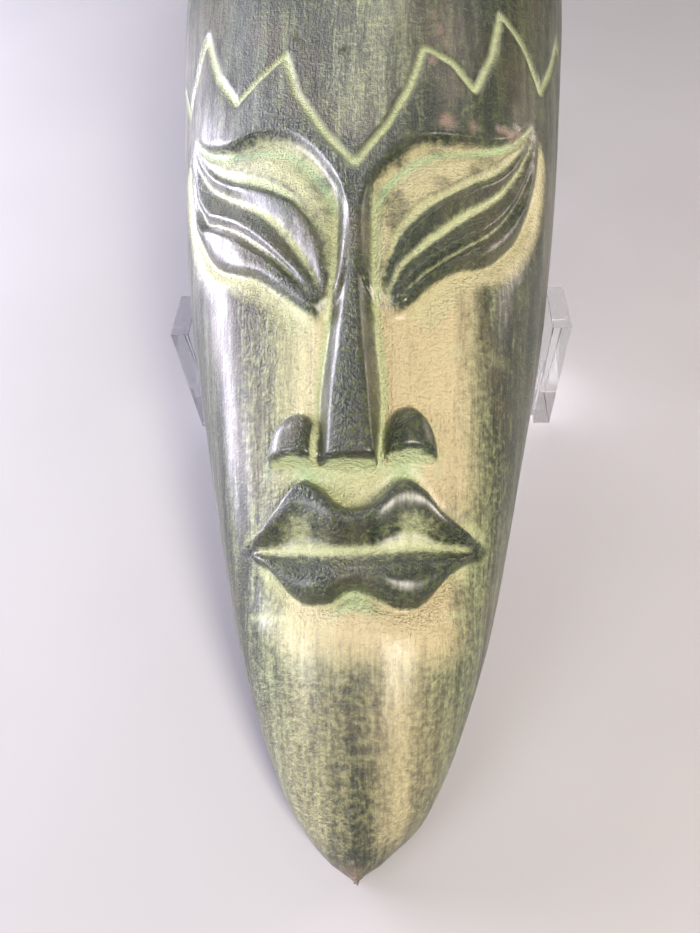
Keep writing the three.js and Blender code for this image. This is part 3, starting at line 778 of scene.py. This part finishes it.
@dataclass(frozen=True)
class PatinaFinish:
    """Waxed green patina, dark where it is polished and rubbed pale in the recesses, with painted shadow
    lines along carved edges and pale specks that are partly painted sheen.
    """

    name: str = "patinated_wood"
    black: Colour = (0.008, 0.016, 0.007)
    bronze: Colour = (0.040, 0.034, 0.015)
    moss: Colour = (0.074, 0.102, 0.022)
    lime: Colour = (0.42, 0.46, 0.25)
    cream: Colour = (0.46, 0.395, 0.225)
    mint: Colour = (0.22, 0.42, 0.22)
    groove: Colour = (0.46, 0.52, 0.29)
    dust_and_sheen: Colour = (0.11, 0.125, 0.065)
    painted_shadow: Colour = (0.004, 0.005, 0.004)
    wood: Colour = (0.24, 0.175, 0.135)

    def build(self, grain: bpy.types.NodeTree) -> bpy.types.Material:
        """Make the material.

        Args:
            grain: The shared wood grain group.

        Returns:
            The finished material.
        """
        material, sheet, output, skin = new_finish(self.name)
        sheet.link(skin.outputs[0], output.inputs[0])
        uv = sheet.add("ShaderNodeUVMap", uv_map="girth").outputs[0]
        wood = sheet.add("ShaderNodeGroup", node_tree=grain)
        sheet.link(uv, wood.inputs[0])
        streaks, fibres, pores, clouds = (wood.outputs[n] for n in ("Streaks", "Fibres", "Pores", "Clouds"))
        pale, mint, cream = (sheet.attribute(n) for n in ("pale", "mint", "cream"))
        line, bare = sheet.attribute("line"), sheet.attribute("bare")

        calm = sheet.attribute("calm")
        place = sheet.add("ShaderNodeTexCoord").outputs["Object"]
        speckle = sheet.noise(place, 600.0, 4.0, 0.65)
        grit = sheet.noise(place, 1250.0, 2.0, 0.6)
        restless = sheet.minus(1.0, sheet.times(calm, 0.92))
        strands = sheet.plus(sheet.times(streaks, 0.6), sheet.times(fibres, 0.4))
        drawn = sheet.times(sheet.minus(strands, 0.5), restless)
        polish = sheet.remap(clouds, 0.40, 0.60, 0.75, 1.0)

        dark = sheet.mix(sheet.remap(clouds, 0.44, 0.62), self.black, self.bronze)
        mossy = sheet.plus(drawn, sheet.times(speckle, 0.9))
        dark = sheet.mix(sheet.remap(mossy, 0.40, 0.64, 0.0, 0.85), dark, self.moss)
        chalk = sheet.mix(sheet.remap(cream, 0.15, 0.9), self.lime, self.cream)
        dirt = sheet.minus(sheet.times(speckle, 0.6), drawn)
        chalk = sheet.mix(sheet.remap(dirt, 0.34, 0.62, 0.0, 0.6), chalk, self.moss)
        broken = sheet.plus(pale, sheet.times(drawn, 1.2))
        broken = sheet.plus(broken, sheet.times(sheet.minus(speckle, 0.5), 0.75))
        cover = sheet.remap(broken, 0.10, 0.95)
        colour = sheet.mix(cover, dark, chalk)
        # Painted shadow: negative pale values, the thin dark lines along carved edges and under overhangs,
        # mix the colour towards near black.
        shade = sheet.remap(pale, -0.05, -0.5)
        # Fine pale grey-green specks over the dark patina: partly dust in the grain, partly painted sheen
        # standing for the granular highlights of the polish.
        dust_and_sheen = sheet.times(sheet.remap(grit, 0.52, 0.68), sheet.remap(cover, 1.0, 0.0, 0.10, 0.40))
        colour = sheet.mix(dust_and_sheen, colour, self.dust_and_sheen)
        colour = sheet.mix(sheet.times(shade, 0.9), colour, self.painted_shadow)
        stain = sheet.times(mint, sheet.remap(speckle, 0.35, 0.55, 0.35, 0.95))
        colour = sheet.mix(stain, colour, self.mint)
        colour = sheet.mix(sheet.times(pores, 0.45), colour, self.black)
        colour = sheet.mix(line, colour, self.groove)
        colour = sheet.mix(sheet.times(bare, 0.9), colour, self.wood)
        sheet.link(colour, skin.inputs["Base Color"])

        matt = sheet.most(sheet.times(cover, 0.75), sheet.most(line, bare))
        rough = sheet.plus(sheet.remap(matt, 0.0, 1.0, 0.34, 0.58), sheet.times(fibres, 0.10))
        rough = sheet.plus(rough, sheet.times(shade, 0.3))
        sheet.link(rough, skin.inputs["Roughness"])
        relief = sheet.plus(sheet.times(drawn, 0.8), sheet.times(fibres, 0.45))
        relief = sheet.plus(relief, sheet.times(speckle, 0.9))
        relief = sheet.plus(relief, sheet.times(grit, 1.1))
        relief = sheet.minus(relief, sheet.times(pores, 0.5))
        bump = sheet.add("ShaderNodeBump")
        bump.inputs["Strength"].default_value = 0.8
        bump.inputs["Distance"].default_value = 0.0026
        sheet.link(relief, bump.inputs["Height"])
        sheet.link(bump.outputs[0], skin.inputs["Normal"])
        wax = sheet.times(sheet.times(polish, sheet.remap(strands, 0.40, 0.60, 0.45, 1.0)),
                          sheet.minus(1.0, sheet.most(shade, sheet.times(matt, 0.65))))
        sheet.link(wax, skin.inputs["Coat Weight"])
        skin.inputs["Specular IOR Level"].default_value = 0.45
        skin.inputs["Coat Roughness"].default_value = 0.33
        return material


@dataclass(frozen=True)
class BackWoodFinish:
    """Plain stained wood on the rim and inside the hollow."""

    name: str = "stained_back"
    early: Colour = (0.115, 0.075, 0.042)
    late: Colour = (0.050, 0.036, 0.022)
    stain: Colour = (0.030, 0.040, 0.020)

    def build(self, grain: bpy.types.NodeTree) -> bpy.types.Material:
        """Make the material from the shared wood grain group."""
        material, sheet, output, skin = new_finish(self.name)
        sheet.link(skin.outputs[0], output.inputs[0])
        uv = sheet.add("ShaderNodeUVMap", uv_map="girth").outputs[0]
        wood = sheet.add("ShaderNodeGroup", node_tree=grain)
        sheet.link(uv, wood.inputs[0])
        colour = sheet.mix(sheet.remap(wood.outputs["Streaks"], 0.38, 0.62), self.late, self.early)
        colour = sheet.mix(sheet.remap(wood.outputs["Clouds"], 0.45, 0.7, 0.0, 0.8), colour, self.stain)
        sheet.link(colour, skin.inputs["Base Color"])
        sheet.link(sheet.remap(wood.outputs["Fibres"], 0.3, 0.7, 0.55, 0.75), skin.inputs["Roughness"])
        bump = sheet.add("ShaderNodeBump")
        bump.inputs["Strength"].default_value = 0.5
        bump.inputs["Distance"].default_value = 0.0008
        sheet.link(wood.outputs["Fibres"], bump.inputs["Height"])
        sheet.link(bump.outputs[0], skin.inputs["Normal"])
        return material


@dataclass(frozen=True)
class AcrylicFinish:
    """Clear acrylic with a faint haze of fine scuffs."""

    name: str = "clear_acrylic"
    tint: Colour = (0.96, 0.98, 0.985)

    def build(self) -> bpy.types.Material:
        """Make the material."""
        material, sheet, output, skin = new_finish(self.name)
        clear = sheet.add("ShaderNodeBsdfTransparent")
        blend = sheet.add("ShaderNodeMixShader")
        sheet.link(sheet.add("ShaderNodeLightPath").outputs["Is Shadow Ray"], blend.inputs[0])
        sheet.link(skin.outputs[0], blend.inputs[1])
        sheet.link(clear.outputs[0], blend.inputs[2])
        sheet.link(blend.outputs[0], output.inputs[0])
        skin.inputs["Base Color"].default_value = (*self.tint, 1.0)
        skin.inputs["Transmission Weight"].default_value = 1.0
        skin.inputs["IOR"].default_value = 1.49
        place = sheet.add("ShaderNodeTexCoord").outputs["Object"]
        scuffs = sheet.noise(sheet.stretched(place, (1.0, 1.0, 0.25)), 900.0, 2.0, 0.6)
        sheet.link(sheet.remap(scuffs, 0.55, 0.8, 0.03, 0.16), skin.inputs["Roughness"])
        return material


@dataclass(frozen=True)
class FloorFinish:
    """Plain pale studio floor."""

    name: str = "pale_floor"
    colour: Colour = (0.28, 0.28, 0.285)

    def build(self) -> bpy.types.Material:
        """Make the material."""
        material, sheet, output, skin = new_finish(self.name)
        sheet.link(skin.outputs[0], output.inputs[0])
        place = sheet.add("ShaderNodeTexCoord").outputs["Object"]
        cloud = sheet.noise(place, 6.0)
        darker = tuple(0.94 * c for c in self.colour)
        sheet.link(sheet.mix(sheet.remap(cloud, 0.3, 0.7), darker, self.colour), skin.inputs["Base Color"])
        skin.inputs["Roughness"].default_value = 0.75
        return material


# ---------------------------------------------------------------------------- the mask


PAINTS = ("pale", "mint", "cream", "line", "bare", "calm")


class Surface(Enum):
    """Which material slot a part of the mask takes."""

    FACE = 0
    BACK = 1


@dataclass
class CarvedMask:
    """The mask in one closed skin: carved face, flat rim and hollowed back."""

    blank: Blank = field(default_factory=Blank)
    face_columns: int = 238
    hollow_columns: int = 14
    rim_edge: float = 0.9
    row_bands: Sequence[tuple[float, float, float]] = (
        (0, 20, 2.0), (20, 62, 3.0), (62, 101.4, 0.68), (101.4, 103, 0.4), (103, 122, 0.68),
        (122, 140, 1.4), (140, 225, 0.62), (225, 270, 0.72), (270, 300, 2.5), (300, 470, 5.0),
        (470, 495, 2.5),
    )
    nose: NoseCarving = field(default_factory=NoseCarving)
    reference_girth: float = 85.0
    nose_columns: Sequence[float] = (-16.0, -8.2, -4.9, -2.4, 1.3, 5.2, 16.0)
    left_eye: EyeCarving = field(default_factory=lambda: EyeCarving(
        outer=(-65, 222), inner=(-8.6, 141.5), side=1,
        brow=(0, 1.0, 3.5, 8.7, 20.3, 26.0, 27.7, 27.2, 24.3, 17.8, 9.1, 1.2),
        groove=(0, 0.2, 1.0, 5.4, 13.0, 20.0, 22.8, 22.9, 20.0, 13.7, 6.6, 0.8),
        fold=(0, -0.6, -0.6, 0.9, 5.0, 10.1, 13.5, 14.9, 14.6, 11.4, 5.4, 0.5),
        upper_leaf=(0, -1.6, -2.3, -1.8, 0.4, 4.6, 9.1, 12.4, 12.3, 9.1, 4.3, 0.3),
        valley=(0, -2.8, -4.9, -5.4, -3.2, -0.3, 3.0, 4.8, 5.1, 4.6, 2.7, 0.1),
        middle_leaf=(0, -3.6, -7.2, -10.9, -11.0, -7.5, -3.8, -1.2, 0.4, 1.6, 1.8, 0),
        cut=(0, -4.2, -8.4, -13.0, -13.4, -9.7, -6.3, -3.6, -1.2, 0.1, 0.8, -0.1),
        lower_leaf=(0, -4.8, -9.6, -14.2, -15.1, -11.5, -8.0, -5.6, -3.0, -1.6, -0.6, -0.3),
        foot=(0, -5.6, -11.0, -15.4, -18.0, -18.0, -17.0, -13.2, -7.8, -4.9, -2.5, -0.5),
    ))
    right_eye: EyeCarving = field(default_factory=lambda: EyeCarving(
        outer=(60.2, 220), inner=(8.1, 142.7), side=-1,
        brow=(0, 0.3, 1.2, 4.8, 13.7, 23.4, 26.5, 27.1, 25.2, 19.5, 11.1, 1.2),
        groove=(0, -0.5, 0.0, 3.0, 9.4, 17.2, 21.3, 22.8, 20.5, 14.6, 7.4, 0.8),
        fold=(0, -1.1, -1.1, -0.1, 2.1, 5.6, 8.9, 12.3, 12.9, 9.8, 5.7, 0.5),
        upper_leaf=(0, -2.0, -3.1, -3.5, -2.1, 1.5, 4.8, 7.4, 8.7, 7.6, 4.5, 0.3),
        valley=(0, -2.8, -4.6, -6.0, -6.2, -4.5, -1.5, 0.9, 3.3, 4.9, 3.3, 0.1),
        middle_leaf=(0, -3.6, -6.7, -8.7, -10.1, -9.9, -8.4, -5.5, -2.4, -0.1, 0.7, 0),
        cut=(0, -4.2, -8.0, -10.6, -12.0, -11.8, -9.8, -6.8, -3.5, -1.0, -0.3, -0.1),
        lower_leaf=(0, -4.7, -8.5, -11.2, -12.8, -12.8, -11.7, -8.7, -5.6, -3.0, -1.6, -0.3),
        foot=(0, -5.3, -9.9, -13.6, -16.5, -17.2, -16.2, -14.0, -7.7, -4.2, -2.9, -0.5),
    ))

    def rows(self) -> np.ndarray:
        """Stations along the mask, close together where the carving is fine."""
        pieces = [np.linspace(a, b, max(2, round((b - a) / pitch)), endpoint=False)
                  for a, b, pitch in self.row_bands]
        return np.concatenate([*pieces, [self.blank.length]])

    def columns(self) -> np.ndarray:
        """Shares of the half girth from one rim to the other, closer over the face."""
        t = np.linspace(-1, 1, self.face_columns)
        return np.sign(t) * (0.86 * np.abs(t) + 0.14 * np.abs(t) ** 5)

    def places_across(self, v: np.ndarray, girth: np.ndarray) -> np.ndarray:
        """Where each column lies round each section; the middle ones follow the nose's edges.

        Args:
            v: Stations along the mask.
            girth: Half girth of each section, one to a row.

        Returns:
            Places across in millimetres, rows by columns.
        """
        share = self.columns()
        home = np.array(self.nose_columns)
        followed = np.stack([home[0] * np.ones(len(v)), *self.nose.lines(v),
                             home[-1] * np.ones(len(v))], axis=1)
        straight = home[None] * girth / self.reference_girth
        followed[:, 0], followed[:, -1] = straight[:, 0], straight[:, -1]
        weight = (step(97, 102, v) * step(200, 186, v))[:, None]
        targets = straight + (followed - straight) * weight
        across = girth * share[None]
        middle = np.abs(share * self.reference_girth) < home[-1]
        for i in range(len(v)):
            across[i, middle] = np.interp(share[middle] * self.reference_girth, home, targets[i])
        return across

    def carve(self, across: np.ndarray, along: np.ndarray) -> Relief:
        """Carve and paint every place on the face.

        Args:
            across: Place round the section, in millimetres.
            along: Place up from the chin tip, in millimetres.

        Returns:
            The finished relief.
        """
        relief = Relief.flat(across, along)
        for tool in (FaceGround(), LipCarving(), self.left_eye, self.right_eye, self.nose,
                     BrowBand(), Wear(), ChiselWork()):
            tool.carve(relief)
        for name in ("depth", *PAINTS):
            setattr(relief, name, softened(getattr(relief, name)))
        return relief

    def face_points(self, v: np.ndarray) -> tuple[np.ndarray, Relief]:
        """Places of the carved face in mask coordinates, rows by columns, and its relief."""
        b = self.blank
        u, n, s = b.arch(curve_through(b.half_width)(v), curve_through(b.face_height)(v))
        girth = s[:, -1:]
        across = self.places_across(v, girth)
        reach = np.abs(across)

        def at(table: np.ndarray, r: np.ndarray) -> np.ndarray:
            """Values of an arch table at each row's distances round the section."""
            return np.stack([np.interp(r[i], s[i], table[i]) for i in range(len(v))])

        sign = np.where(across < 0, -1.0, 1.0)
        place_u, place_n = at(u, reach) * sign, at(n, reach)
        small = 0.25
        near, far = np.maximum(reach - small, 0), np.minimum(reach + small, girth)
        du, dn = at(u, far) - at(u, near), at(n, far) - at(n, near)
        size = np.maximum(np.hypot(du, dn), 1e-9)
        normal_u, normal_n = -dn / size * sign, du / size
        along = np.broadcast_to(v[:, None], across.shape)
        relief = self.carve(across, along.copy())
        points = np.stack([place_u + normal_u * relief.depth, along,
                           place_n + normal_n * relief.depth], axis=-1)
        return points, relief

    def back_points(self, v: np.ndarray, foot: np.ndarray) -> np.ndarray:
        """Places of the rim and the hollow, from the +X foot round to the -X foot.

        Args:
            v: Stations along the mask.
            foot: Half width of the carved face at the rim plane.

        Returns:
            Places in mask coordinates, rows by columns.
        """
        b = self.blank
        t = np.clip((v - b.hollow[0]) / (b.hollow[1] - b.hollow[0]), 0, 1)
        full = np.sqrt(np.clip(1 - np.abs(2 * t - 1) ** 8, 0, 1))
        width = np.maximum((curve_through(b.half_width)(v) - b.wall_side) * full, 0.3 * foot)
        height = np.maximum((curve_through(b.face_height)(v) - b.wall_face) * full, 0)
        angle = np.linspace(0, math.pi, self.hollow_columns)[None]
        hollow_u = width[:, None] * np.sign(np.cos(angle)) * np.abs(np.cos(angle)) ** (2 / b.power)
        hollow_n = height[:, None] * np.abs(np.sin(angle)) ** (2 / b.power)
        hollow_n[:, 0] = 0
        hollow_n[:, -1] = 0
        hollow_n += 0.6 * soft_noise(hollow_u / 13 + 20, v[:, None] / 19, 31) * step(2, 12, hollow_n)
        edge = np.minimum(self.rim_edge, 0.2 * (foot - width))
        rim = np.stack([foot - edge, (foot + width) / 2, width + edge], axis=1)
        u = np.concatenate([rim, hollow_u, -rim[:, ::-1]], axis=1)
        n = np.concatenate([np.zeros(rim.shape), hollow_n, np.zeros(rim.shape)], axis=1)
        return np.stack([u, np.broadcast_to(v[:, None], u.shape), n], axis=-1)

    def paint(self, work: bmesh.types.BMesh, seats: np.ndarray, relief: Relief) -> None:
        """Store the relief's paint on the points as named attributes.

        Args:
            work: The mesh being made.
            seats: Row and column of each point.
            relief: What was painted on the face.
        """
        row, column = seats
        on_face = column < self.face_columns
        for name in PAINTS:
            layer = work.verts.layers.float.new(name)
            painted = getattr(relief, name)[row, np.minimum(column, self.face_columns - 1)]
            values = np.where(on_face, painted, 0)
            for vert, value in zip(work.verts, values):
                vert[layer] = float(value)

    def unroll(self, work: bmesh.types.BMesh, seats: np.ndarray, ring: np.ndarray, relief: Relief) -> None:
        """Lay the girth UV map and choose each face's material.

        Args:
            work: The mesh being made.
            seats: Row and column of each point, the closing column numbered after the last.
            ring: Places of every section, rows by columns.
            relief: The face's relief, which knows how far round each point is.
        """
        row, column = seats
        back = ring[:, self.face_columns - 1:]
        back = np.concatenate([back, ring[:, :1]], axis=1)
        run = np.cumsum(np.linalg.norm(np.diff(back, axis=1), axis=2), axis=1)
        around = np.concatenate([relief.across, relief.across[:, -1:] + run], axis=1)
        girth = work.loops.layers.uv.new("girth")
        u, v = around[row, column] / 100, ring[row, 0, 1] / 100
        for panel in work.faces:
            panel.smooth = True
            on_face = all(column[loop.vert.index] < self.face_columns for loop in panel.loops)
            panel.material_index = Surface.FACE.value if on_face else Surface.BACK.value
            for loop in panel.loops:
                loop[girth].uv = (u[loop.vert.index], v[loop.vert.index])

    def build(self) -> bpy.types.Object:
        """Model the whole mask as one closed skin.

        Returns:
            The mask's object, with its paint stored as point attributes.
        """
        v = self.rows()
        face, relief = self.face_points(v)
        foot = np.maximum(face[:, -1, 0], 0.2)
        ring = np.concatenate([face, self.back_points(v, foot)], axis=1)
        rows, columns = ring.shape[:2]
        work = bmesh.new()
        bmesh.ops.create_grid(work, x_segments=columns, y_segments=rows - 1, size=1.0)
        work.verts.index_update()
        flat = np.array([vert.co[:2] for vert in work.verts])
        column = np.rint((flat[:, 0] + 1) / 2 * columns).astype(int)
        row = np.rint((flat[:, 1] + 1) / 2 * (rows - 1)).astype(int)
        closed = ring[row, column % columns]
        for vert, place in zip(work.verts, self.blank.to_row(closed[:, 0], closed[:, 1], closed[:, 2])):
            vert.co = place
        self.unroll(work, np.stack([row, column]), ring, relief)
        self.paint(work, np.stack([row, column % columns]), relief)
        seam = [vert for vert, at in zip(work.verts, column) if at in (0, columns)]
        bmesh.ops.remove_doubles(work, verts=seam, dist=1e-6)
        ends = [edge for edge in work.edges if edge.is_boundary]
        bmesh.ops.holes_fill(work, edges=ends, sides=0)
        bmesh.ops.recalc_face_normals(work, faces=work.faces)
        return make_object("carved_mask", work)

    def dress(self, piece: bpy.types.Object, grain: bpy.types.NodeTree) -> None:
        """Give the mask its materials and say what it stands for."""
        piece.data.materials.append(PatinaFinish().build(grain))
        piece.data.materials.append(BackWoodFinish().build(grain))
        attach(piece, "root")
        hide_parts("mask")


# ---------------------------------------------------------------------------- the cradle


@dataclass(frozen=True)
class AcrylicCradle:
    """Clear cradle of two cheeks, a base, a front strip and a rear panel, with polished edges."""

    node: str = "acrylic_cradle"
    edge: float = 0.0004
    segments: int = 2

    def build(self) -> bpy.types.Object:
        """Take the cradle's form and soften its edges."""
        work = bmesh.new()
        work.from_mesh(bpy.data.objects[self.node].data)
        bmesh.ops.remove_doubles(work, verts=work.verts, dist=1e-6)
        bmesh.ops.dissolve_limit(work, angle_limit=math.radians(1), verts=work.verts, edges=work.edges)
        corners = [edge for edge in work.edges if edge.calc_face_angle(0.0) > math.radians(20)]
        bmesh.ops.bevel(work, geom=corners, offset=self.edge, segments=self.segments, profile=0.5,
                        affect="EDGES", material=-1, clamp_overlap=True)
        bmesh.ops.recalc_face_normals(work, faces=work.faces)
        return make_object("cradle_sheet", work)

    def dress(self, piece: bpy.types.Object) -> None:
        """Give the cradle its finish and say what it stands for."""
        piece.data.materials.append(AcrylicFinish().build())
        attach(piece, "root")
        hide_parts(self.node)


# ---------------------------------------------------------------------------- studio


@dataclass(frozen=True)
class SoftLight:
    """One studio lamp, hung at a bearing and height round the mask."""

    name: str
    bearing: float
    height: float
    distance: float
    size: tuple[float, float]
    radiance: float
    colour: Colour

    def build(self, aim: Vector) -> None:
        """Hang the lamp and turn it to what it lights."""
        lamp = bpy.data.lights.new(self.name, "AREA")
        lamp.shape = "RECTANGLE"
        lamp.size, lamp.size_y = self.size
        lamp.energy = self.radiance * math.pi * self.size[0] * self.size[1]
        lamp.color = self.colour
        bearing, height = math.radians(self.bearing), math.radians(self.height)
        way = Vector((math.cos(bearing) * math.cos(height), math.sin(bearing) * math.cos(height),
                      math.sin(height)))
        holder = bpy.data.objects.new(self.name, lamp)
        holder.location = aim + way * self.distance
        holder.rotation_euler = way.to_track_quat("Z", "Y").to_euler()
        bpy.context.scene.collection.objects.link(holder)


@dataclass(frozen=True)
class Studio:
    """Floor, sky, lamps and camera."""

    eye: tuple[float, float, float] = (0.01265, -0.26316, 0.217)
    right: tuple[float, float, float] = (0.99706787, 0.04187314, -0.06404918)
    up: tuple[float, float, float] = (0.00527271, 0.79741726, 0.60340527)
    lens: float = 27.64
    sensor: float = 36.0
    sky: Colour = (0.80, 0.82, 0.86)
    sky_strength: float = 0.11
    floor_half: float = 3.0
    aim: tuple[float, float, float] = (0.0, -0.1, 0.08)
    lamps: Sequence[SoftLight] = (
        SoftLight("left_window", 165, 10, 0.9, (0.74, 0.32), 37.0, (0.88, 0.83, 1.0)),
        SoftLight("left_high", 138, 32, 0.9, (0.28, 0.24), 7.0, (0.84, 0.84, 1.0)),
        SoftLight("left_front", 218, 30, 0.9, (0.42, 0.34), 13.0, (0.92, 0.88, 1.0)),
        SoftLight("right_lamp", 22, 14, 0.9, (0.34, 0.26), 12.0, (1.0, 0.86, 0.78)),
        SoftLight("right_high", 52, 46, 0.9, (0.20, 0.20), 7.0, (1.0, 0.84, 0.80)),
        SoftLight("overhead", 92, 56, 1.0, (0.38, 0.38), 5.0, (1.0, 0.97, 0.88)),
        SoftLight("front_lamp", -56, 40, 0.9, (0.22, 0.34), 66.0, (1.0, 0.90, 0.80)),
    )

    def build(self) -> None:
        """Set up everything that isn't the object."""
        world = bpy.data.worlds.new("studio")
        world.use_nodes = True
        sky = world.node_tree.nodes["Background"]
        sky.inputs["Color"].default_value = (*self.sky, 1.0)
        sky.inputs["Strength"].default_value = self.sky_strength
        bpy.context.scene.world = world
        bpy.context.scene.view_settings.view_transform = "Standard"
        work = bmesh.new()
        bmesh.ops.create_grid(work, x_segments=1, y_segments=1, size=self.floor_half)
        floor = make_object("studio_floor", work)
        floor.data.materials.append(FloorFinish().build())
        floor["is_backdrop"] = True
        for lamp in self.lamps:
            lamp.build(Vector(self.aim))
        self.place_camera()

    def place_camera(self) -> None:
        """Stand the camera where it looks down on the face."""
        camera = bpy.data.cameras.new("view")
        camera.lens = self.lens
        camera.sensor_width = self.sensor
        camera.clip_start = 0.01
        holder = bpy.data.objects.new("view", camera)
        right, up = Vector(self.right), Vector(self.up)
        turn = Matrix((right, up, right.cross(up))).transposed()
        holder.matrix_world = Matrix.Translation(self.eye) @ turn.to_4x4()
        bpy.context.scene.collection.objects.link(holder)
        bpy.context.scene.camera = holder


def make_object(name: str, work: bmesh.types.BMesh) -> bpy.types.Object:
    """Turn a finished bmesh into an object in the scene.

    Args:
        name: Name of the object and its mesh.
        work: The mesh, which is freed.

    Returns:
        The new object, at the origin.
    """
    mesh = bpy.data.meshes.new(name)
    work.to_mesh(mesh)
    work.free()
    piece = bpy.data.objects.new(name, mesh)
    bpy.context.scene.collection.objects.link(piece)
    return piece


def main() -> None:
    """Build the mask, its cradle and the studio."""
    Studio().build()
    grain = grain_group()
    mask = CarvedMask()
    piece = mask.build()
    mask.dress(piece, grain)
    log.info("carved mask: %d faces", len(piece.data.polygons))
    cradle = AcrylicCradle()
    piece = cradle.build()
    cradle.dress(piece)
    log.info("cradle: %d faces", len(piece.data.polygons))


if __name__ == "__main__":
    main()
    [list(corner) for corner in CAD_BOX]
    [list(corner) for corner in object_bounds()]
